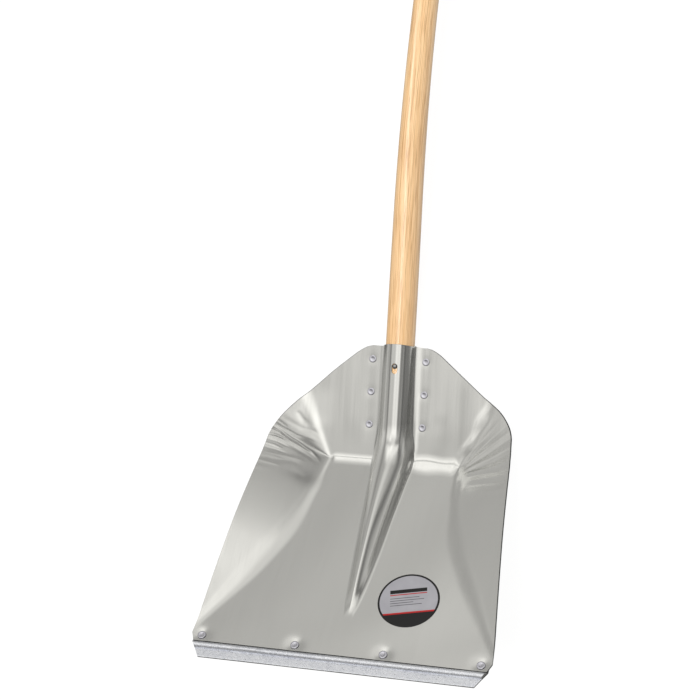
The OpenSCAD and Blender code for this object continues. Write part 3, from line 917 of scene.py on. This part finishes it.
# ---------------------------------------------------------------------------
# label
# ---------------------------------------------------------------------------
def build_label():
    cx, cy, rr = 73.0, 91.0, 40.4
    sides = 128
    radii = [6, 12, 18, 24, 30, 36, 38, 39.4, rr - 0.1, rr]
    pts, loc = [(0, 0)], [0.0]
    for r in radii:
        for k in range(sides):
            t = 2 * math.pi * k / sides
            pts.append((r * math.cos(t), r * math.sin(t)))
    pts = np.array(pts)
    w = dents(cx + pts[:, 0], cy + pts[:, 1]) + 0.30
    w[-sides:] -= 0.26
    faces = [(0, 1 + k, 1 + (k + 1) % sides) for k in range(sides)]
    for i in range(len(radii) - 1):
        a, b = 1 + i * sides, 1 + (i + 1) * sides
        faces += [(a + k, b + k, b + (k + 1) % sides, a + (k + 1) % sides) for k in range(sides)]
    n = len(pts)
    low = np.stack([cx + pts[-sides:, 0], cy + pts[-sides:, 1], w[-sides:] - 0.02], -1)
    verts = np.concatenate([np.stack([cx + pts[:, 0], cy + pts[:, 1], w], -1), low])
    a = n - sides
    faces += [(a + k, n + k, n + (k + 1) % sides, a + (k + 1) % sides) for k in range(sides)]
    faces.append(tuple(n + k for k in range(sides))[::-1])
    ob = make("label_disc", world(verts), faces)
    c, s = math.cos(math.radians(-13)), math.sin(math.radians(-13))
    xy = verts[:, :2] - np.array([cx, cy])
    attr(ob, "label", np.stack([c * xy[:, 0] - s * xy[:, 1], s * xy[:, 0] + c * xy[:, 1], xy[:, 0] * 0], -1))
    return ob


label = build_label()
finish_piece(label, "label", M_LABEL)


# ---------------------------------------------------------------------------
# back plate of the socket: the CAD solid with a sheet finish and soft edges
# ---------------------------------------------------------------------------
plate = frame["nodes"]["socket_plate"]
pm = Nodes("plate_sheet")
tc = pm.add("ShaderNodeTexCoord").outputs["Object"]
pn = pm.noise(pm.scaled(tc, (900, 12, 60)), 1.0, 4.0, 0.6)
ps = pm.noise(pm.scaled(tc, (25, 12, 25)), 1.0, 3.0, 0.5)
pm.set(Base_Color=pm.mix(pm.range(ps, 0.35, 0.65, 0.0, 0.4), pm.ramp(pn, [(0.3, (0.60, 0.60, 0.59)), (0.7, (0.72, 0.72, 0.71))]), (0.55, 0.55, 0.54)), Metallic=1.0)
pm.set(Roughness=pm.range(pn, 0.3, 0.7, 0.34, 0.46), Normal=pm.bump(pn, 0.12, 0.0004))
plate.data.materials.clear()
plate.data.materials.append(pm.mat)
bv = plate.modifiers.new("edge", "BEVEL")
bv.width = 0.0005
bv.segments = 2
bv.limit_method = "ANGLE"
bv.angle_limit = math.radians(35)


# ---------------------------------------------------------------------------
# stage, light and camera
# ---------------------------------------------------------------------------
floor = make("studio_floor", [(-30, -30, -0.0014), (30, -30, -0.0014), (30, 30, -0.0014), (-30, 30, -0.0014)], [(0, 1, 2, 3)], False)
fm = Nodes("studio_floor")
fm.set(Base_Color=(0.14, 0.14, 0.14), Roughness=0.9)
fm.bsdf.inputs["Specular IOR Level"].default_value = 0.0
fm.bsdf.inputs["Emission Color"].default_value = (1, 1, 1, 1)
fm.bsdf.inputs["Emission Strength"].default_value = 0.94
floor.data.materials.append(fm.mat)
floor.visible_glossy = False
floor.visible_diffuse = False

# a plain white backdrop all round, seen directly but not mirrored
pts, faces = [], []
for i in range(13):
    e = math.radians(-4 + 94 * i / 12.0)
    for k in range(48):
        t = 2 * math.pi * k / 48
        pts.append((28 * math.cos(e) * math.cos(t), 28 * math.cos(e) * math.sin(t), 28 * math.sin(e)))
for i in range(12):
    for k in range(48):
        faces.append((i * 48 + k, i * 48 + (k + 1) % 48, (i + 1) * 48 + (k + 1) % 48, (i + 1) * 48 + k))
dome = make("studio_backdrop", pts, faces)
dm = bpy.data.materials.new("studio_backdrop")
dm.use_nodes = True
dn = dm.node_tree.nodes
dn.remove(dn["Principled BSDF"])
em = dn.new("ShaderNodeEmission")
em.inputs["Color"].default_value = (1, 1, 1, 1)
em.inputs["Strength"].default_value = 1.0
dm.node_tree.links.new(em.outputs[0], dn["Material Output"].inputs["Surface"])
dome.data.materials.append(dm)
dome.visible_glossy = False
dome.visible_diffuse = False
dome.visible_shadow = False
dome.visible_transmission = False

w = bpy.data.worlds.new("studio")
bpy.context.scene.world = w
w.use_nodes = True
wt = w.node_tree
bg = wt.nodes["Background"]
coord = wt.nodes.new("ShaderNodeTexCoord").outputs["Generated"]


def wmath(op, a, b=None):
    n = wt.nodes.new("ShaderNodeMath")
    n.operation = op
    for i, x in enumerate((a, b)):
        if x is None:
            continue
        if isinstance(x, (int, float)):
            n.inputs[i].default_value = x
        else:
            wt.links.new(x, n.inputs[i])
    return n.outputs[0]


def wstep(x, a, b):
    """Smooth step of a direction component, rising from a to b."""
    n = wt.nodes.new("ShaderNodeMapRange")
    n.interpolation_type = "SMOOTHSTEP"
    wt.links.new(x, n.inputs[0])
    lo, hi = (a, b) if a < b else (b, a)
    n.inputs[1].default_value = lo
    n.inputs[2].default_value = hi
    n.inputs[3].default_value = 0.0 if a < b else 1.0
    n.inputs[4].default_value = 1.0 if a < b else 0.0
    return n.outputs[0]


def wmul(*xs):
    t = xs[0]
    for x in xs[1:]:
        t = wmath("MULTIPLY", t, x)
    return t


def wadd(*xs):
    t = xs[0]
    for x in xs[1:]:
        t = wmath("ADD", t, x)
    return t


wsep = wt.nodes.new("ShaderNodeSeparateXYZ")
wt.links.new(coord, wsep.inputs[0])
wx, wy, wz = wsep.outputs
wzc = wmath("MAXIMUM", wz, 0.03)
ceil_x = wmath("DIVIDE", wx, wzc)      # place on a flat ceiling, in ceiling heights
ceil_y = wmath("DIVIDE", wy, wzc)


def softbox(x0, x1, x2, x3, y0, y1, y2, y3, amp):
    """A bank of lamps in the ceiling with soft borders."""
    return wmul(wstep(ceil_x, x0, x1), wstep(ceil_x, x3, x2), wstep(ceil_y, y0, y1), wstep(ceil_y, y3, y2), wstep(wz, 0.05, 0.2), amp)


wall_l = wadd(0.42, wmul(wstep(wx, 0.35, 0.75), -0.29), wmul(wstep(wx, -0.60, -0.85), 0.07))
wall_l = wmul(wall_l, wadd(0.30, wmul(wstep(wz, -0.22, 0.02), 0.70)))
wall_l = wmul(wall_l, wadd(1.0, wmul(wstep(wy, -0.28, -0.65), -0.60)))
sky = wadd(
    wall_l,
    softbox(-1.15, -0.65, 0.25, 0.95, -0.44, 0.06, 0.30, 0.46, 0.50),
    softbox(-0.64, -0.42, -0.24, -0.02, 0.04, 0.22, 0.30, 0.46, 0.36),
    softbox(-0.30, 0.10, 0.28, 0.70, -0.80, -0.30, 0.05, 0.30, 0.38),
    softbox(-0.16, 0.04, 0.40, 0.60, 0.20, 0.34, 0.40, 0.52, -0.28),
    softbox(0.45, 0.60, 0.75, 0.95, 0.38, 0.43, 0.46, 0.55, -0.16),
    softbox(0.30, 0.45, 0.60, 0.80, 0.08, 0.16, 0.24, 0.32, 0.20),
    softbox(-1.10, -0.45, -0.15, 0.20, 0.48, 0.60, 0.75, 1.45, 0.80),
    softbox(-0.15, 0.20, 0.36, 0.58, 0.42, 0.88, 0.92, 1.45, 0.66),
    softbox(0.36, 0.58, 0.85, 1.25, 0.54, 0.60, 0.62, 1.45, 0.86),
    softbox(-0.15, 0.00, 0.32, 0.48, 0.24, 0.42, 0.54, 0.84, 0.48),
    softbox(0.50, 0.80, 1.30, 1.90, 1.05, 1.35, 1.50, 1.72, 0.20),
    softbox(-1.00, -0.40, 0.00, 0.80, 1.00, 1.50, 2.20, 3.0, 0.34),
    softbox(-0.90, -0.68, -0.42, -0.25, 0.80, 1.00, 1.20, 1.45, 0.22),
    wmul(wstep(ceil_x, -2.60, -2.20), wstep(ceil_x, -1.15, -1.45), wstep(ceil_y, -0.7, -0.4), wstep(ceil_y, 0.10, -0.04), wstep(wz, 0.05, 0.2), -0.24),
    wmul(wstep(wz, -0.35, -0.65), 0.42),
    wmul(wstep(wx, -0.75, -0.86), wstep(wz, 0.26, 0.44), 0.18),
    wmul(wstep(wx, 0.72, 0.88), wstep(wy, -0.22, 0.30), wstep(wy, 0.55, 0.40), wstep(wz, -0.60, -0.42), wstep(wz, 0.66, 0.48), 0.25),
    wmul(wstep(wx, 0.60, 0.80), wstep(wy, 0.02, 0.35), wstep(wz, 0.40, 0.15), wstep(wz, -0.14, 0.0), 0.22),
    wmul(wstep(wx, 0.45, 0.70), wstep(wz, 0.0, -0.18), 0.55))
wt.links.new(wmath("MAXIMUM", sky, 0.02), bg.inputs["Strength"])
bg.inputs["Color"].default_value = (1.0, 0.988, 0.945, 1.0)

# a broad key light for the wood, kept out of the metal's reflections
key = bpy.data.objects.new("key", bpy.data.lights.new("key", "SUN"))
key.data.energy = 1.25
key.data.angle = math.radians(24)
key.visible_glossy = False
key.rotation_euler = Vector((0.12, 0.16, -0.98)).to_track_quat("-Z", "Y").to_euler()
bpy.context.scene.collection.objects.link(key)

# a long strip lamp for the lacquer of the handle only
strip_lamp = bpy.data.objects.new("strip_lamp", bpy.data.lights.new("strip_lamp", "AREA"))
strip_lamp.data.shape = "RECTANGLE"
strip_lamp.data.size = 8.4
strip_lamp.data.size_y = 1.1
strip_lamp.data.energy = 150.0
strip_lamp.location = (-2.6, 0.22, 6.0)
aim = (Vector((0, -0.3, 0.1)) - strip_lamp.location).normalized()
long = Vector((-0.88, 0.58, 0.0))
long = (long - aim * long.dot(aim)).normalized()
side = (-aim).cross(long)
strip_lamp.rotation_euler = Matrix((long, side, -aim)).transposed().to_euler()
bpy.context.scene.collection.objects.link(strip_lamp)
lit = bpy.data.collections.new("lit_by_strip")
lit.objects.link(handle)
strip_lamp.light_linking.receiver_collection = lit

# soft fill on the handle's right side
fill_lamp = bpy.data.objects.new("fill_lamp", bpy.data.lights.new("fill_lamp", "AREA"))
fill_lamp.data.shape = "DISK"
fill_lamp.data.size = 3.0
fill_lamp.data.energy = 34.0
fill_lamp.location = (3.4, 0.1, 1.5)
fill_lamp.rotation_euler = (Vector((0, 0.1, 0.1)) - fill_lamp.location).to_track_quat("-Z", "Y").to_euler()
fill_lamp.visible_glossy = False
bpy.context.scene.collection.objects.link(fill_lamp)
fill_lamp.light_linking.receiver_collection = lit

# camera fitted to the photograph: 2200 pixels of focal length on 700 pixels
CAM_R = np.array([[0.9477, 0.2462, -0.2029], [0.0614, -0.7648, -0.6413], [-0.3131, 0.5953, -0.74]])
CAM_P = np.array([858.9, -1349.5, 2290.8])
right, down, fwd = (ROT @ CAM_R[0], ROT @ CAM_R[1], ROT @ CAM_R[2])
fwd = fwd / np.linalg.norm(fwd)
right = right - fwd * (right @ fwd)
right = right / np.linalg.norm(right)
up = np.cross(right, fwd)
loc = world(CAM_P)
cam = bpy.data.objects.new("camera", bpy.data.cameras.new("camera"))
bpy.context.scene.collection.objects.link(cam)
cam.matrix_world = Matrix((
    (right[0], up[0], -fwd[0], loc[0]),
    (right[1], up[1], -fwd[1], loc[1]),
    (right[2], up[2], -fwd[2], loc[2]),
    (0, 0, 0, 1)))
cam.data.sensor_width = 36.0
cam.data.lens = 36.0 * 2200.0 / 700.0
cam.data.clip_end = 200.0
bpy.context.scene.camera = cam
bpy.context.scene.view_settings.view_transform = "Standard"
bpy.context.scene.view_settings.look = "None"
